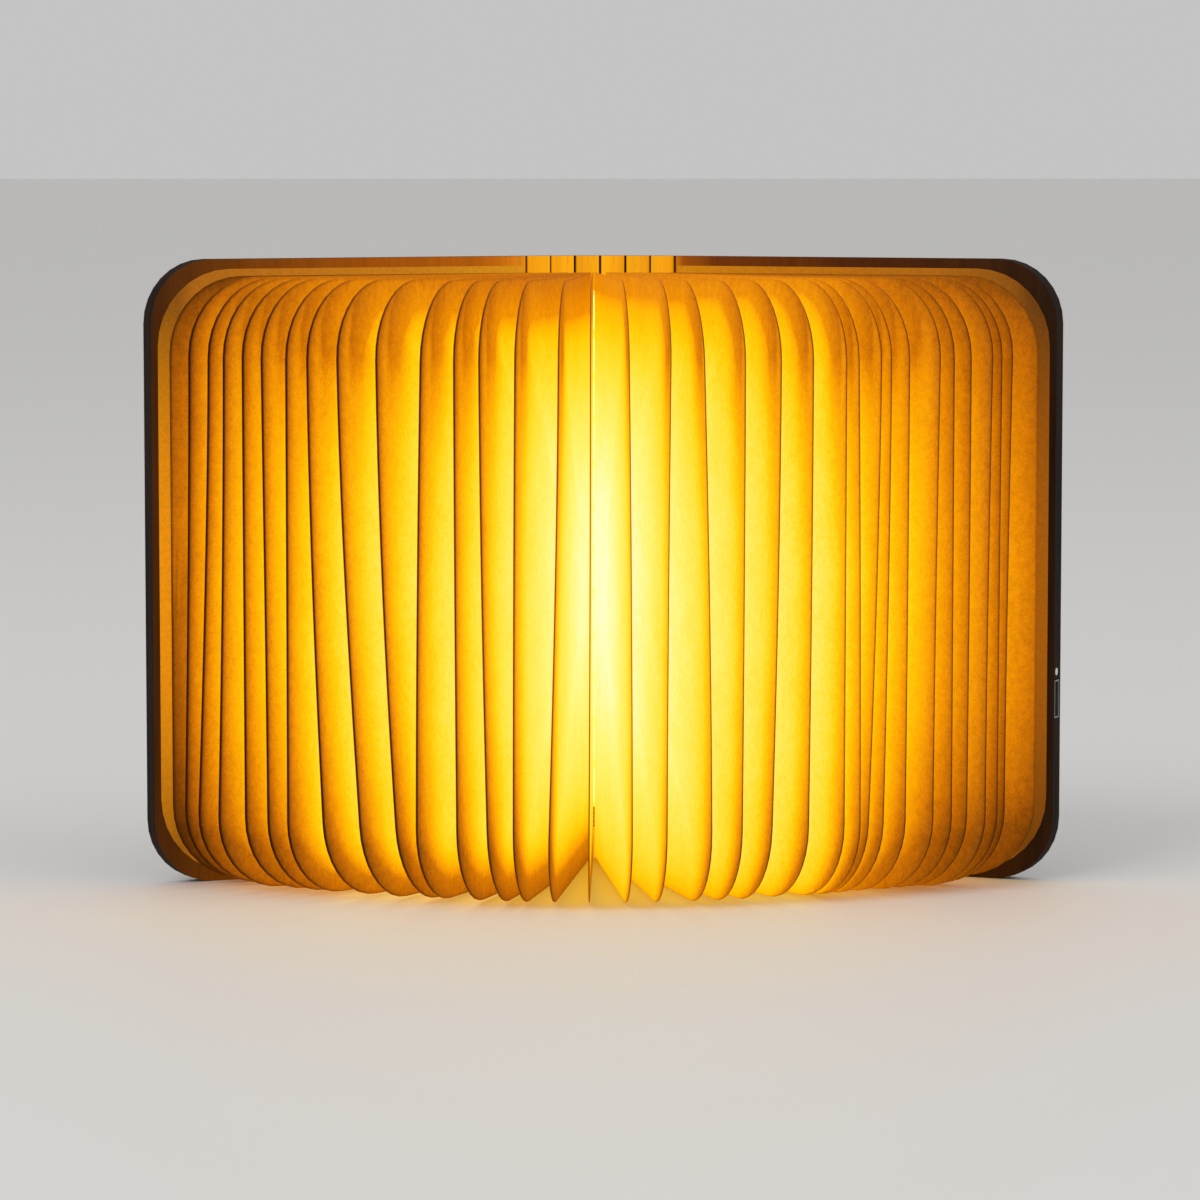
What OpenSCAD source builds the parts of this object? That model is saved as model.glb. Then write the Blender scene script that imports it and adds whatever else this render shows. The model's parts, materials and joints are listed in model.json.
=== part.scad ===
// Folding book lamp, standing open on its lower edges, with its paper pages fanned to the front.
// +Z is up and the front, where the pages point, is -Y. Every hinge line of the lamp is vertical.
// In the plan view each panel has its own directions: along is measured from its inner hinge line
// outwards, and inward is measured from the outer plane of the spine towards the pages.

/* [Covers] */
// Height of the covers and of the spine
cover_h = 122; // [90:1:160]
// Width of a cover, from its hinge line to the fore-edge
cover_w = 82; // [60:1:110]
// Thickness of the cover board
board_t = 3.6; // [3.4:0.1:4]
// Thickness of the walnut veneer on the outside of a board
veneer_t = 0.4; // [0.3:0.1:0.8]
// Radius of the two corners at the fore-edge
corner_r = 12.5; // [5:0.5:20]
// Thickness of the liner on the inside of a board
liner_t = 0.3; // [0.2:0.05:0.35]
// Bare wood rim that the liner leaves at the top and the foot of a board
liner_inset = 1.9; // [1:0.1:5]
// Bare wood rim that the liner leaves at the fore-edge of a board
liner_side_inset = 1.3; // [1:0.1:5]
// Radius of the two outer corners of a liner
liner_r = 15; // [5:0.5:20]
// Lean of a cover from straight ahead when the lamp stands open
cover_angle = 64.8; // [40:0.1:66]

/* [Spine] */
// Distance from one spine groove to the next
slat_pitch = 5.2; // [5:0.1:6]
// Thickness of a spine slat
slat_t = 2.5; // [2:0.1:2.8]
// Slit that a groove leaves between two slats on the outside
groove_gap = 0.2; // [0.1:0.05:0.3]
// Thickness of the hinge cloth on the back of the spine
cloth_t = 0.4; // [0.2:0.05:0.8]
// Width of the cloth flap that is glued to a cover
flap_w = 6; // [4:0.5:12]

/* [Pages] */
// Margin between the fore-edge of a page and that of a cover, each measured from its own fold
page_margin = 5; // [5:0.5:20]
// Thickness of a page, which is two sheets bonded at the rim
page_t = 0.2; // [0.1:0.05:0.2]
// Radius of the outer corners of a page
page_r = 15; // [5:0.5:20]
// Height of the fold of a page above the outer plane of the spine
fold_height = 5.4; // [5.2:0.1:5.5]
// Margin between the top of the pages and the top of the covers
page_top_margin = 3.3; // [1:0.1:10]
// Clearance under the pages
page_foot = 0.4; // [0.2:0.1:2]
// Margin between the fore-edge of an end leaf and that of its cover
end_leaf_margin = 3.7; // [3.5:0.1:20]
// Thickness of an end leaf
end_leaf_t = 0.2; // [0.1:0.05:0.2]

/* [Lights] */
// Width of an LED bar
led_bar_w = 3; // [2:0.1:3]
// Thickness of the board of an LED bar
led_board_t = 0.6; // [0.4:0.1:0.8]
// Number of LEDs on a bar, each under its own lens
led_count = 12; // [6:1:12]
// Length of one lens along the bar
lens_l = 6; // [3:0.5:6]
// Height of a lens over the board of its bar
lens_t = 1.5; // [1:0.1:1.5]
// Width of a lens at its top
lens_top_w = 0.6; // [0.4:0.1:0.6]
// Margin above the LED bars
led_bar_top_margin = 7; // [4:1:20]

/* [Inside the covers] */
// Diameter of a cover magnet
magnet_d = 10; // [6:0.5:14]
// Thickness of a cover magnet
magnet_t = 2; // [1:0.1:2.4]
// Distance from the edges of a board to the middle of a magnet
magnet_inset = 14; // [12:0.5:16]
// Width of the battery
battery_w = 44; // [20:1:44]
// Height of the battery
battery_h = 60; // [30:1:60]
// Thickness of the battery
battery_t = 2.6; // [1.5:0.1:2.6]
// Width of the control board
control_w = 20; // [16:1:30]
// Height of the control board
control_h = 14; // [12:1:16]
// Thickness of the control board
control_t = 0.8; // [0.6:0.1:1]
// Width of the charging socket
socket_w = 7.5; // [7:0.1:8]
// Thickness of the charging socket
socket_t = 2.6; // [2.4:0.1:2.7]
// Depth of the charging socket
socket_l = 5.5; // [5:0.1:7]
// Wall of the charging socket
socket_wall = 0.3; // [0.2:0.05:0.4]
// Height of the charging socket above the foot of the cover
socket_z = 36; // [32:1:40]
// Diameter of the charge light
light_d = 1.5; // [1:0.1:2]
// Height of the charge light above the middle of the socket
light_rise = 5.4; // [5.2:0.1:5.8]
// Clearance between a pocket and what lies in it
pocket_gap = 0.2; // [0.1:0.05:0.4]
// Width of the flat ribbon that feeds the LED bars
ribbon_w = 4; // [3:0.5:5]
// Thickness of the ribbon
ribbon_t = 0.15; // [0.1:0.05:0.2]
// Height of the lower edge of the ribbon
ribbon_z = 6; // [5:0.5:7]

/* [Hidden] */

// Angle of every free page from straight ahead, from the left cover to the right one. The pages
// spread a little unevenly, as folded paper does.
page_angles = [
    -59.1, -53.8, -50.3, -49, -45.1, -42, -40.2, -35.3,
    -30.9, -25, -19.5, -16.2, -11.7, -5.6, -1.5, 4,
    7.2, 13.3, 17.7, 22.8, 27.5, 31.1, 33.3, 36.3,
    37.6, 40.5, 43.5, 46.5, 49.3, 50.2, 53.2, 55
];
page_count = len(page_angles);
// A page that leans less than the first angle is folded on the slat beside the middle groove, less
// than the second on the next slat, less than the third on the outer slat, and else on the cover.
fold_limits = [31, 41.5, 50];
// Distance from the hinge line to the fold of a page that belongs to a cover
cover_fold = 1;

slats_a_side = 3;
grooves_a_side = slats_a_side + 0.5;
page_l = cover_w - page_margin;
end_leaf_l = cover_w - end_leaf_margin;
// Turn of one groove: 90 degrees shared by the grooves of one side when the lamp is shut
shut_turn = -90 / grooves_a_side;
// Turn of one groove as the lamp stands
rest_turn = (cover_angle - 90) / grooves_a_side;
// Bevel of a slat, so that its neighbour can swing in until the lamp is shut
bevel_slack = 0.6;
bevel = tan(-shut_turn / 2 + bevel_slack);
glue_gap = 0.02;
arc_steps = 8;
// The edge of a board at its hinge: [along, inward] of the lower and the upper bevel point
board_edge = [groove_gap / 2, 0];
board_bevel_low = [0.55, 2.2];
board_bevel_high = 1.6;
liner_start = 2;
inner_face = board_t + liner_t + end_leaf_t;
page_back = page_t / 2;
page_top = cover_h - page_top_margin;
pocket_depth = magnet_t + pocket_gap;
battery_along = 8;
battery_z = 52;
control_along = cover_w - socket_l - control_w - 2 * pocket_gap;
control_inward = 1.2;
socket_inward = 0.4;
ribbon_inward = 2.6;
channel_inward = 2;
ribbon_overlap = 3;
light_along = control_along + control_w + pocket_gap / 2;

// Share of a groove's turn that a panel of one side has: 0 to 2 are slats, 3 is the cover
function share(k) = k + 0.5;
// Inner hinge line of panel k on the right side, at a groove turn
function hinge_line(k, turn) =
    k == 0 ? [0, 0]
    : hinge_line(k - 1, turn) + slat_pitch * [cos(share(k - 1) * turn), sin(share(k - 1) * turn)];
// A point of the right side, given along and inward on panel k
function panel_point(k, along, inward, turn = rest_turn) =
    hinge_line(k, turn)
    + along * [cos(share(k) * turn), sin(share(k) * turn)]
    + inward * [sin(share(k) * turn), -cos(share(k) * turn)];
function mirrored(p, side) = [side * p[0], p[1]];
function rounded_corner(cx, cy, r, from) =
    [for (i = [0:arc_steps]) let (at = from + 90 * i / arc_steps) [cx + r * cos(at), cy + r * sin(at)]];
// Outline of a sheet with two round corners at its far end
function sheet_outline(x0, x1, z0, z1, r) = concat(
    [[x0, z0]],
    rounded_corner(x1 - r, z0 + r, r, -90),
    rounded_corner(x1 - r, z1 - r, r, 0),
    [[x0, z1]]
);

// Shut, the pages lie side by side at even steps between the end leaves
shut_half_gap = hinge_line(slats_a_side, shut_turn)[0] - inner_face;
page_step = 2 * shut_half_gap / (page_count + 1);
function shut_x(i) = (i - (page_count - 1) / 2) * page_step;
function page_panel(i) =
    let (lean = abs(page_angles[i]))
    lean < fold_limits[0] ? 0 : lean < fold_limits[1] ? 1 : lean < fold_limits[2] ? 2 : 3;
// Where the fold of page i lies on its panel: [along, inward]
function fold_place(i) =
    let (k = page_panel(i), x = abs(shut_x(i)), h = hinge_line(k, shut_turn), a = share(k) * shut_turn)
    k == slats_a_side ? [cover_fold, h[0] - x]
    : [(x - h[0] - fold_height * sin(a)) / cos(a), fold_height];
function fold_point(i) =
    let (p = fold_place(i), side = shut_x(i) < 0 ? -1 : 1)
    mirrored(panel_point(page_panel(i), p[0], p[1]), side);
function page_reach(i) =
    -fold_point(i)[1] + page_l * cos(page_angles[i]) + page_t / 2 * abs(sin(page_angles[i]));

// The origin is under the middle of the lamp's box
front_reach = max([for (i = [0:page_count - 1]) page_reach(i)]);
back_reach = cloth_t / cos(share(0) * rest_turn);
centre_shift = (front_reach - back_reach) / 2;

walnut = "#5a3a22";
paper = "#ffd27a";

// Puts what is drawn along +X and inward along -Y on panel k of a side
module on_panel(k, side) {
    h = hinge_line(k, rest_turn);
    translate([0, centre_shift, 0])
        mirror([side < 0 ? 1 : 0, 0, 0])
            translate([h[0], h[1], 0])
                rotate([0, 0, share(k) * rest_turn])
                    children();
}

// A sheet of thickness t standing over an outline of along and height, from inward height h
module standing_sheet(h, t) {
    translate([0, -h, 0])
        rotate([90, 0, 0])
            linear_extrude(height = t)
                children();
}

module page(i) {
    p = fold_point(i);
    color(paper)
        translate([p[0], p[1] + centre_shift, 0])
            rotate([0, 0, page_angles[i] - 90])
                translate([0, page_t / 2, 0])
                    standing_sheet(0, page_t)
                        polygon(sheet_outline(-page_back, page_l, page_foot, page_top, page_r));
}

module slat(k, side) {
    foot = groove_gap / 2;
    color(walnut)
        on_panel(k, side)
            linear_extrude(height = cover_h)
                polygon([
                    [foot, 0], [slat_pitch - foot, 0],
                    [slat_pitch - foot - slat_t * bevel, -slat_t], [foot + slat_t * bevel, -slat_t]
                ]);
}

module led_bar(k, side) {
    bar_foot = ribbon_z + ribbon_w + pocket_gap;
    bar_h = cover_h - led_bar_top_margin - bar_foot;
    led_step = bar_h / led_count;
    color("white")
        on_panel(k, side)
            translate([slat_pitch / 2, -slat_t, bar_foot]) {
                translate([-led_bar_w / 2, -led_board_t, 0])
                    cube([led_bar_w, led_board_t, bar_h]);
                for (n = [0:led_count - 1])
                    translate([0, -led_board_t, (n + 0.5) * led_step - lens_l / 2])
                        linear_extrude(height = lens_l)
                            polygon([
                                [-led_bar_w / 2, 0], [led_bar_w / 2, 0],
                                [lens_top_w / 2, -lens_t], [-lens_top_w / 2, -lens_t]
                            ]);
            }
}

// The charge light starts beside the control board and ends flush with the fore-edge
module light_place() {
    translate([light_along, -control_inward - light_d / 2, socket_z + light_rise])
        rotate([0, 90, 0])
            children();
}

// A plain cover board, before its pockets are cut
module board_blank() {
    intersection() {
        linear_extrude(height = cover_h)
            polygon([
                board_edge, [cover_w, 0], [cover_w, -board_t],
                [board_bevel_high, -board_t], [board_bevel_low[0], -board_bevel_low[1]]
            ]);
        standing_sheet(-1, board_t + 2)
            polygon(sheet_outline(0, cover_w, 0, cover_h, corner_r));
    }
}

// A pocket cut from the inner face of a board, from inward height h outwards
module pocket(along, z, w, tall, h) {
    translate([along - pocket_gap, -board_t - 1, z - pocket_gap])
        cube([w + 2 * pocket_gap, board_t + 1 - h + pocket_gap, tall + 2 * pocket_gap]);
}

module magnet_place(upper) {
    z = upper ? cover_h - magnet_inset : magnet_inset;
    translate([cover_w - magnet_inset, -board_t, z])
        rotate([-90, 0, 0])
            children();
}

module magnet_pockets() {
    for (upper = [false, true])
        magnet_place(upper)
            translate([0, 0, -1])
                cylinder(h = pocket_depth + 1, d = magnet_d + 2 * pocket_gap, $fn = 48);
}

module left_cover_board() {
    color(walnut)
        on_panel(slats_a_side, -1)
            difference() {
                board_blank();
                magnet_pockets();
            }
}

module right_cover_board() {
    color(walnut)
        on_panel(slats_a_side, 1)
            difference() {
                board_blank();
                magnet_pockets();
                pocket(battery_along, battery_z, battery_w, battery_h, (board_t - battery_t) / 2);
                pocket(control_along, socket_z - control_h / 2, control_w, control_h, control_inward);
                // Slot for the socket, open at the fore-edge and into the control board's pocket
                translate([
                    control_along + control_w, -socket_inward - socket_t - pocket_gap,
                    socket_z - socket_w / 2 - pocket_gap
                ])
                    cube([cover_w, socket_t + 2 * pocket_gap, socket_w + 2 * pocket_gap]);
                // Channels for the ribbon: from the hinge, up to the control board and to the battery
                pocket(-1, ribbon_z, control_along + ribbon_w + 1, ribbon_w, channel_inward);
                pocket(control_along, ribbon_z, ribbon_w, socket_z - ribbon_z, channel_inward);
                pocket(battery_along, ribbon_z, ribbon_w, battery_z - ribbon_z, channel_inward);
                light_place()
                    cylinder(h = cover_w, d = light_d + 2 * glue_gap, $fn = 32);
            }
}

module cover_veneer(side) {
    color(walnut)
        on_panel(slats_a_side, side)
            standing_sheet(-veneer_t, veneer_t - glue_gap)
                polygon(sheet_outline(flap_w + 0.2, cover_w, 0, cover_h, corner_r));
}

module cover_liner(side) {
    color("#c79a5a")
        on_panel(slats_a_side, side)
            standing_sheet(board_t, liner_t)
                polygon(sheet_outline(
                    liner_start, cover_w - liner_side_inset, liner_inset, cover_h - liner_inset, liner_r));
}

module end_leaf(side) {
    color(paper)
        on_panel(slats_a_side, side)
            standing_sheet(board_t + liner_t, end_leaf_t)
                polygon(sheet_outline(liner_start + 0.2, end_leaf_l, page_foot, page_top, page_r));
}

module magnet(side, upper) {
    color("silver")
        on_panel(slats_a_side, side)
            magnet_place(upper)
                cylinder(h = magnet_t, d = magnet_d, $fn = 48);
}

// A strip that follows the panels, given its points on one face and then on the other
module strip(near, far, z, tall) {
    translate([0, centre_shift, z])
        linear_extrude(height = tall)
            polygon(concat(near, [for (i = [len(far) - 1:-1:0]) far[i]]));
}

// Points of the hinge lines at an inward height, mitred at every groove, with the flap's end
function cloth_line(inward) = concat(
    [for (k = [0:slats_a_side]) panel_point(k, inward * tan(rest_turn / 2), inward)],
    [panel_point(slats_a_side, flap_w, inward)]
);
function both_sides(line) = concat(
    [for (i = [len(line) - 1:-1:1]) mirrored(line[i], -1)],
    [[0, line[0][1]]],
    [for (i = [1:len(line) - 1]) line[i]]
);

module spine_cloth() {
    color("#3a2a1c")
        strip(both_sides(cloth_line(-glue_gap)), both_sides(cloth_line(-cloth_t)), 0, cover_h);
}

// The ribbon's run over the slats, under the LED bars. Its end lies inside the branched sheet in the
// right cover, at the inward height ribbon_inward + tail.
function ribbon_line(inward, tail) =
    let (h = slat_t + inward, mitre = h * tan(-rest_turn / 2))
    concat(
        [
            mirrored(panel_point(1, slat_pitch / 2 + led_bar_w / 2, h), -1),
            mirrored(panel_point(1, mitre, h), -1),
            [0, panel_point(0, mitre, h)[1]]
        ],
        [for (k = [1:slats_a_side - 1]) panel_point(k, mitre, h)],
        [
            panel_point(slats_a_side - 1, slat_pitch - groove_gap - slat_t * bevel, h),
            panel_point(slats_a_side, ribbon_overlap, ribbon_inward + tail)
        ]
    );

module led_ribbon() {
    z0 = ribbon_z;
    z1 = ribbon_z + ribbon_w;
    color("#b5651d")
        union() {
            strip(
                ribbon_line(glue_gap, ribbon_t / 3), ribbon_line(glue_gap + ribbon_t, 2 * ribbon_t / 3),
                z0, ribbon_w);
            on_panel(slats_a_side, 1)
                standing_sheet(ribbon_inward, ribbon_t)
                    polygon([
                        [ribbon_overlap / 2, z0], [control_along + ribbon_w, z0],
                        [control_along + ribbon_w, socket_z - control_h / 2 + ribbon_w / 2],
                        [control_along, socket_z - control_h / 2 + ribbon_w / 2],
                        [control_along, z1], [battery_along + ribbon_w, z1],
                        [battery_along + ribbon_w, battery_z - pocket_gap / 2],
                        [battery_along, battery_z - pocket_gap / 2], [battery_along, z1],
                        [ribbon_overlap / 2, z1]
                    ]);
        }
}

module battery() {
    color("#8f9499")
        on_panel(slats_a_side, 1)
            translate([battery_along, -(board_t + battery_t) / 2, battery_z])
                cube([battery_w, battery_t, battery_h]);
}

module control_board() {
    chip = [5, 0.8, 5];
    color("#1f5c3a")
        on_panel(slats_a_side, 1)
            translate([control_along, -control_inward, socket_z - control_h / 2]) {
                translate([0, -control_t, 0])
                    cube([control_w, control_t, control_h]);
                translate([control_w / 4, -control_t - chip[1], control_h / 2 - chip[2] / 2])
                    cube(chip);
                // Magnetic sensor that switches the lamp on when the covers part
                translate([control_w / 2, -control_t - chip[1] / 2, 1.5])
                    cube([3, chip[1] / 2, 1.5]);
            }
}

module usb_socket() {
    color("silver")
        on_panel(slats_a_side, 1)
            translate([cover_w - socket_l, -socket_inward - socket_t, socket_z - socket_w / 2])
                difference() {
                    cube([socket_l, socket_t, socket_w]);
                    translate([socket_wall, socket_wall, socket_wall])
                        cube([socket_l, socket_t - 2 * socket_wall, socket_w - 2 * socket_wall]);
                }
}

module charge_light() {
    color("white")
        on_panel(slats_a_side, 1)
            light_place()
                cylinder(h = cover_w - light_along, d = light_d, $fn = 32);
}

page(0);  // page_01
page(1);  // page_02
page(2);  // page_03
page(3);  // page_04
page(4);  // page_05
page(5);  // page_06
page(6);  // page_07
page(7);  // page_08
page(8);  // page_09
page(9);  // page_10
page(10);  // page_11
page(11);  // page_12
page(12);  // page_13
page(13);  // page_14
page(14);  // page_15
page(15);  // page_16
page(16);  // page_17
page(17);  // page_18
page(18);  // page_19
page(19);  // page_20
page(20);  // page_21
page(21);  // page_22
page(22);  // page_23
page(23);  // page_24
page(24);  // page_25
page(25);  // page_26
page(26);  // page_27
page(27);  // page_28
page(28);  // page_29
page(29);  // page_30
page(30);  // page_31
page(31);  // page_32
slat(2, -1);  // spine_slat_1
slat(1, -1);  // spine_slat_2
slat(0, -1);  // spine_slat_3
slat(0, 1);  // spine_slat_4
slat(1, 1);  // spine_slat_5
slat(2, 1);  // spine_slat_6
led_bar(1, -1);  // led_bar_1
led_bar(0, -1);  // led_bar_2
led_bar(0, 1);  // led_bar_3
led_bar(1, 1);  // led_bar_4
left_cover_board();
cover_veneer(-1);  // left_cover_veneer
cover_liner(-1);  // left_cover_liner
end_leaf(-1);  // left_end_leaf
magnet(-1, true);  // left_magnet_upper
magnet(-1, false);  // left_magnet_lower
right_cover_board();
cover_veneer(1);  // right_cover_veneer
cover_liner(1);  // right_cover_liner
end_leaf(1);  // right_end_leaf
magnet(1, true);  // right_magnet_upper
magnet(1, false);  // right_magnet_lower
spine_cloth();
led_ribbon();
battery();
control_board();
usb_socket();
charge_light();
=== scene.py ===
# %% [markdown]
# # A folding book lamp
# The lamp is a book of wood and paper. Its covers hinge on a slatted spine, and its pages fan out and
# glow. The frame holds every solid piece at its real size, in metres, with +Z up and the front at -Y.
# This lesson dresses that frame: thin paper pages first, then wood, cloth and the small parts inside.

# %% Load the frame
import json
import math

import bpy
import bmesh
from mathutils import Matrix, Vector


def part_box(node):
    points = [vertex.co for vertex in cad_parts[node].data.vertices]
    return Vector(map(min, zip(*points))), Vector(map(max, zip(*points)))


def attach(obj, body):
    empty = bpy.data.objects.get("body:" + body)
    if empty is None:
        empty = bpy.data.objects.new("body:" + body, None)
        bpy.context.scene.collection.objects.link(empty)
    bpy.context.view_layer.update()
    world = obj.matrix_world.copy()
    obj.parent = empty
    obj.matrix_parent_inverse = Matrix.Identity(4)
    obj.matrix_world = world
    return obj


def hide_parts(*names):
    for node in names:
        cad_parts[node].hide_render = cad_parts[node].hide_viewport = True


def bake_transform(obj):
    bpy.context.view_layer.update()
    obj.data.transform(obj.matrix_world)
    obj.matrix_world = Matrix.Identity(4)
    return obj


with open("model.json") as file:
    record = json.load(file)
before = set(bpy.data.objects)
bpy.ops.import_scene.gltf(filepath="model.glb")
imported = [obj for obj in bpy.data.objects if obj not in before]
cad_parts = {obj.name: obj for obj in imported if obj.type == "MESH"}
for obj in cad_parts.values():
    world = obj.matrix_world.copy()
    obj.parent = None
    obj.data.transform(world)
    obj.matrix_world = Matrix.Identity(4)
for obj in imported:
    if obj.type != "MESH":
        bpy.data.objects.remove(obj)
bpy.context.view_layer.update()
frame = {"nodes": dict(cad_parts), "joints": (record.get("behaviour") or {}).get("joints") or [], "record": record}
joints = {joint["name"]: joint for joint in frame["joints"]}
MM = 0.001

# %% [markdown]
# ## Camera
# The photograph was taken from about a metre away, a little above the lamp, with a long lens. The
# horizon lies well above the lamp, so the camera looks down by five degrees. It stands slightly to
# the left, because the fan of pages leans to the right of the spine's middle.

# %% Camera
IMAGE_SIDE = 1200
PIXELS_PER_MM = 4.938
DISTANCE = 1.0
EYE_HEIGHT = 0.142
HORIZON_ROW = 156
SIDE_STEP = math.radians(1.26)
SENSOR = 36.0
NEAREST_SEEN = 0.01

spine_y = joints["left_groove_1"]["pos_m"][1]
focal_pixels = PIXELS_PER_MM * DISTANCE / MM
tilt = math.atan((IMAGE_SIDE / 2 - HORIZON_ROW) / focal_pixels)
camera_data = bpy.data.cameras.new("photo_camera")
camera_data.sensor_width = SENSOR
camera_data.lens = SENSOR * focal_pixels / IMAGE_SIDE
camera_data.clip_start = NEAREST_SEEN
camera = bpy.data.objects.new("photo_camera", camera_data)
bpy.context.collection.objects.link(camera)
camera.location = (
    -DISTANCE * math.sin(SIDE_STEP), spine_y - DISTANCE * math.cos(SIDE_STEP), EYE_HEIGHT
)
camera.rotation_euler = (math.pi / 2 - tilt, 0, -SIDE_STEP)
bpy.context.scene.camera = camera
print("lens", round(camera_data.lens, 1), "mm, tilt", round(math.degrees(tilt), 2), "degrees")

# %% [markdown]
# ## Panels and hinge lines
# Seen from above, the lamp is a chain of eight panels, two covers and six slats, with a hinge line
# between each two. The frame states every hinge, so the chain is read from it. Many later steps need
# to know which way a panel runs and which way is inwards, and they all ask this one table.

# %% Panels
HINGES = [
    "left_cover_hinge", "left_groove_3", "left_groove_2", "left_groove_1",
    "right_groove_2", "right_groove_3", "right_cover_hinge",
]
PANEL_BODIES = ["left_cover", "slat_1", "slat_2", "slat_3", "slat_4", "slat_5", "slat_6", "right_cover"]
MIDDLE = HINGES.index("left_groove_1")

hinge_points = [Vector(joints[name]["pos_m"][:2]) for name in HINGES]


def plan_corners(node_name):
    """The corners of a node as seen from above."""
    return [Vector(v.co[:2]) for v in frame["nodes"][node_name].data.vertices]


def far_end(node_name, near):
    """The plan point of a node that lies furthest from a plan point."""
    return max(plan_corners(node_name), key=lambda corner: (corner - near).length)


def panel_between(start, end):
    """A panel's start, unit direction away from the spine's middle, inward unit and length."""
    along = (end - start).normalized()
    inward = Vector((-along.y, along.x))
    if inward.y > 0:
        inward = -inward
    return {"start": start, "along": along, "inward": inward, "length": (end - start).length}


panels = {}
for i, body in enumerate(PANEL_BODIES):
    left_side = i <= MIDDLE
    start = hinge_points[i] if left_side else hinge_points[i - 1]
    if body.endswith("cover"):
        end = far_end(f"{body}_veneer", start)
    else:
        end = hinge_points[i - 1] if left_side else hinge_points[i]
    panels[body] = panel_between(start, end)
for body, panel in panels.items():
    print(body, "length", round(panel["length"] / MM, 2), "mm")

# %% [markdown]
# ## Writing shader maths as Python
# A material is a graph of nodes. Wiring it by hand hides the idea, so a small class stands for one
# output socket. Adding or multiplying two of them adds a Math node, or a Vector Math node where the
# values are colours or vectors. Every other node comes from one method, node(). A Mix node has a set
# of sockets for each kind of value, so a small table says where A, B and the result of a kind are.

# %% Shader socket class
MIX_SOCKETS = {"FLOAT": (2, 3, 0), "RGBA": (6, 7, 2)}


class Sock:
    def __init__(self, tree, socket):
        self.tree = tree
        self.socket = socket

    def feed(self, target, value):
        if isinstance(value, Sock):
            self.tree.links.new(value.socket, target)
        else:
            target.default_value = value

    def node(self, kind, settings=None, out=0, **inputs):
        """Add a node and return its output out. Inputs go by name, or by place as _0 or _1."""
        made = self.tree.nodes.new(kind)
        for name, value in (settings or {}).items():
            if name == "stops":
                ramp = made.color_ramp
                while len(ramp.elements) > 1:
                    ramp.elements.remove(ramp.elements[-1])
                for i, (place, tone) in enumerate(value):
                    element = ramp.elements[0] if i == 0 else ramp.elements.new(place)
                    element.position = place
                    element.color = (*colour(*tone), 1.0)
            else:
                setattr(made, name, value)
        for name, value in inputs.items():
            key = int(name[1:]) if name[1:].isdigit() else name.replace("_", " ")
            self.feed(made.inputs[key], value)
        return Sock(self.tree, made.outputs[out])

    def is_vector(self):
        return self.socket.type in {"VECTOR", "RGBA"}

    def maths(self, operation, other):
        wide = self.is_vector() or (isinstance(other, Sock) and other.is_vector())
        if not wide:
            return self.node("ShaderNodeMath", {"operation": operation}, _0=self, _1=other)
        if not isinstance(other, Sock) and not isinstance(other, tuple):
            other = (other, other, other)
        return self.node("ShaderNodeVectorMath", {"operation": operation}, _0=self, _1=other)

    def __add__(self, other):
        return self.maths("ADD", other)

    def __sub__(self, other):
        return self.maths("SUBTRACT", other)

    def __mul__(self, other):
        return self.maths("MULTIPLY", other)

    def __truediv__(self, other):
        return self.maths("DIVIDE", other)

    def __rsub__(self, other):
        return self.node("ShaderNodeMath", {"operation": "SUBTRACT"}, _0=other, _1=self)

    __radd__ = __add__
    __rmul__ = __mul__

    def curve(self, operation, other=0.0):
        return self.node("ShaderNodeMath", {"operation": operation}, _0=self, _1=other)

    def toward(self, direction):
        """How far a place or normal reaches along a fixed direction."""
        dot = {"operation": "DOT_PRODUCT"}
        return self.node("ShaderNodeVectorMath", dot, out="Value", _0=self, _1=direction)

    def mix(self, low, high):
        """low where this mask is 0, high where it is 1. Colours mix as colours."""
        wide = any(isinstance(v, tuple) or (isinstance(v, Sock) and v.is_vector()) for v in (low, high))
        kind = "RGBA" if wide else "FLOAT"
        a, b, out = MIX_SOCKETS[kind]
        inputs = {"_0": self, f"_{a}": self.padded(low, kind), f"_{b}": self.padded(high, kind)}
        return self.node("ShaderNodeMix", {"data_type": kind}, out=out, **inputs)

    @staticmethod
    def padded(value, kind):
        if kind == "RGBA" and isinstance(value, tuple) and len(value) == 3:
            return (*value, 1.0)
        return value

    def ramp(self, stops):
        """Colours along this value, as (place, colour)."""
        return self.node("ShaderNodeValToRGB", {"stops": stops}, _0=self)

    def between(self, low, high):
        """0 below low, 1 above high, smooth in between."""
        return self.node(
            "ShaderNodeMapRange", {"interpolation_type": "SMOOTHSTEP"}, _0=self, _1=low, _2=high
        )


def colour(red, green, blue):
    """A colour given as 0 to 255, turned into the linear values that shaders use."""
    def linear(value):
        share = value / 255
        return share / 12.92 if share <= 0.04045 else ((share + 0.055) / 1.055) ** 2.4
    return (linear(red), linear(green), linear(blue))


print("socket class ready")

# %% [markdown]
# Each finish starts from the same few lines: a new material, its Principled shader, and the place of
# a point on the piece in millimetres. One function hands these over, so that a finish reads as what
# it adds. Object coordinates move with the piece, so the grain stays on the wood when it swings.

# %% Start of a finish
TURNED_IN = (0.04, 0.2)


def start_finish(name, **constants):
    """A new material, its shader, a socket to build from and the place of a point in millimetres."""
    material = bpy.data.materials.new(name)
    material.use_nodes = True
    tree = material.node_tree
    shader = tree.nodes["Principled BSDF"]
    for socket_name, value in constants.items():
        shader.inputs[socket_name.replace("_", " ")].default_value = value
    root = Sock(tree, None)
    place = root.node("ShaderNodeTexCoord", out="Object") * (1 / MM)
    return material, shader, root, place


def wire(root, shader, **values):
    """Link what changes over the surface to the shader's sockets."""
    for socket_name, value in values.items():
        root.feed(shader.inputs[socket_name.replace("_", " ")], value)


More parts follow.
